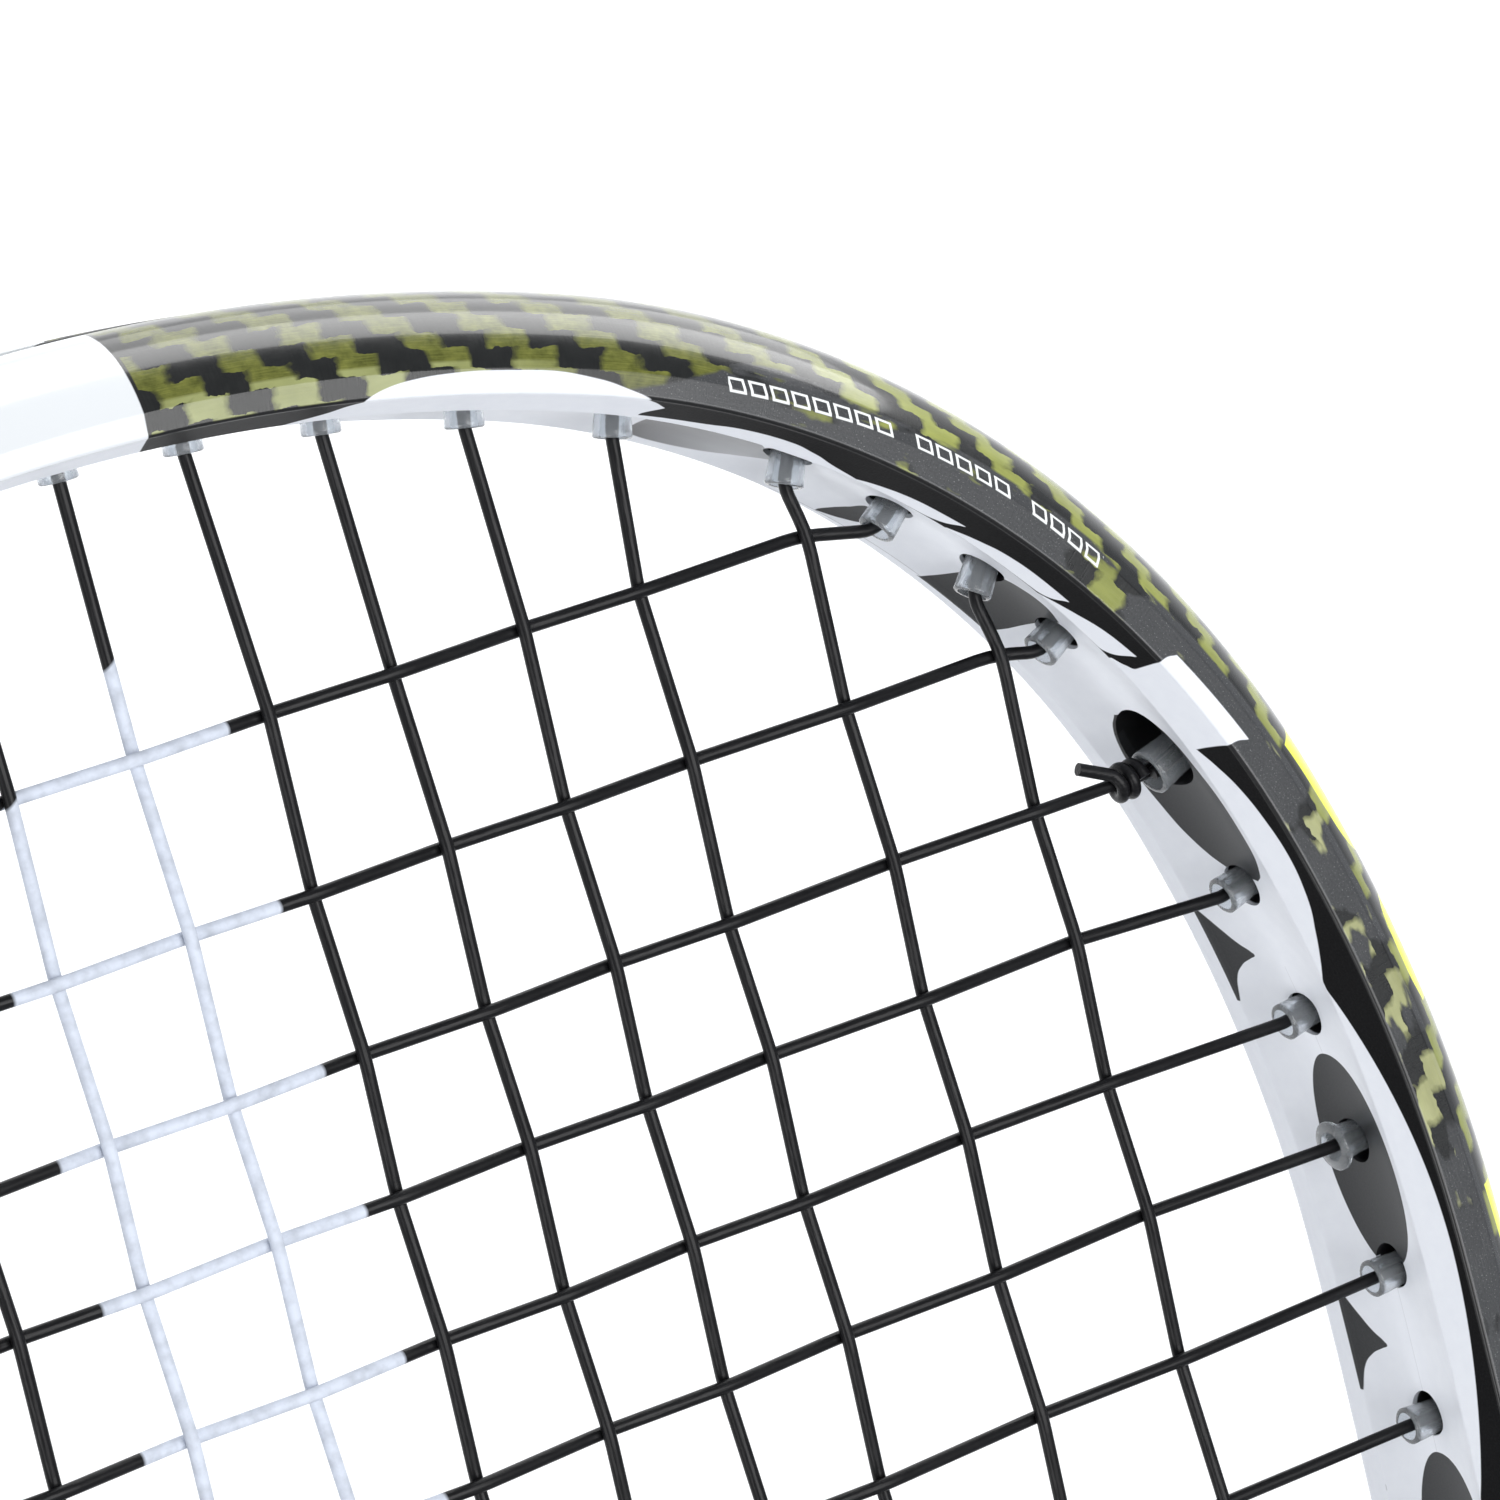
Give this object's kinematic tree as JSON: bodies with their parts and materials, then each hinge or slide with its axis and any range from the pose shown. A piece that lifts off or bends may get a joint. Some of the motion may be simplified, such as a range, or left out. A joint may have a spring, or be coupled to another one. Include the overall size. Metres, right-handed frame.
{
  "type": "squash racket",
  "caption": "Squash racket: hollow teardrop hoop and legs in one moulding, throat bridge, woven string bed, grommet strips, wrapped octagonal handle.",
  "frame": {"origin": "centre of the butt cap's end face", "axes": "+Y up the racket to the tip, +X to the right, +Z to the front, square to the string plane"},
  "size_m": [0.214, 0.6847, 0.0308],
  "materials": {
    "lacquered_carbon": "clear gloss over black carbon weave, white and dark grey shapes",
    "strip_plastic": "translucent clear nylon",
    "strings": "black, lightly glossy multifilament",
    "shaft_laminate": "clear gloss over carbon",
    "foam": "closed-cell foam",
    "pallet_foam": "rigid moulded polyurethane",
    "cap_plastic": "satin moulded",
    "badge_plastic": "plain gloss disc",
    "staple_wire": "zinc-plated wire",
    "grip_skin": "perforated synthetic leather, matte",
    "tape": "vinyl tape",
    "collar_rubber": "matte rubber"
  },
  "bodies": {
    "root": {"head_frame": "lacquered_carbon", "throat_bridge": "lacquered_carbon", "shaft_wrap": "shaft_laminate", "tip_bumper_strip": "strip_plastic", "right_grommet_strip": "strip_plastic", "left_grommet_strip": "strip_plastic", "throat_grommet_strip": "strip_plastic", "main_string": "strings", "cross_string": "strings", "left_main_knot": "strings", "right_main_knot": "strings", "tip_cross_knot": "strings", "throat_cross_knot": "strings", "left_hairpin_plug": "foam", "right_hairpin_plug": "foam", "front_pallet": "pallet_foam", "back_pallet": "pallet_foam", "butt_cap": "cap_plastic", "butt_badge": "badge_plastic", "front_cap_staple": "staple_wire", "back_cap_staple": "staple_wire", "grip_base": "grip_skin", "finishing_tape": "tape", "grip_collar": "collar_rubber"}
  },
  "joints": []
}
